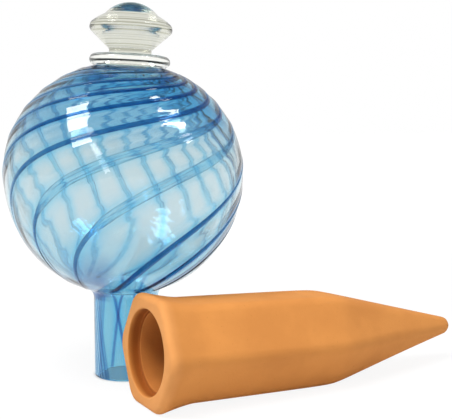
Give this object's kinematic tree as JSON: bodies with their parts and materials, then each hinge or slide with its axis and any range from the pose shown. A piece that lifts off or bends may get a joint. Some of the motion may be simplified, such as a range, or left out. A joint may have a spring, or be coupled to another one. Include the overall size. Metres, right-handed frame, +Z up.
{
  "type": "watering globe",
  "caption": "Blown glass watering globe with spiral blue canes and a clear finial, standing on its neck beside the hollow hexagonal terracotta stake that it seeps through.",
  "frame": {"origin": "centre of the glass neck's rim, on the floor that the globe stands on", "axes": "+Z up the globe's axis, +X along the lying stake from its mouth towards its point"},
  "size_m": [0.2384, 0.1549, 0.1996],
  "materials": {
    "pale_blue_glass": "blown, clear and glossy, with hazy light blue bands",
    "cobalt_glass": "glossy blue canes melted on",
    "clear_glass": "solid, clear and glossy",
    "terracotta": "unglazed fired clay, matt and porous"
  },
  "bodies": {
    "stake_body": {"stake": "terracotta"},
    "globe_body": {"globe_shell": "pale_blue_glass", "blue_cane_1": "cobalt_glass", "blue_cane_2": "cobalt_glass", "blue_cane_3": "cobalt_glass", "blue_cane_4": "cobalt_glass", "blue_cane_5": "cobalt_glass", "blue_cane_6": "cobalt_glass", "blue_cane_7": "cobalt_glass", "blue_cane_8": "cobalt_glass", "blue_cane_9": "cobalt_glass", "blue_cane_10": "cobalt_glass", "blue_cane_11": "cobalt_glass", "blue_cane_12": "cobalt_glass", "blue_cane_13": "cobalt_glass", "blue_cane_14": "cobalt_glass", "blue_cane_15": "cobalt_glass", "blue_cane_16": "cobalt_glass", "finial_collar": "clear_glass", "finial_knob": "clear_glass"}
  },
  "joints": [
    {"name": "globe_lift", "type": "slide", "parent": "stake_body", "child": "globe_body", "axis": [0, 0, 1], "range_m": [0, 0.075]}
  ]
}
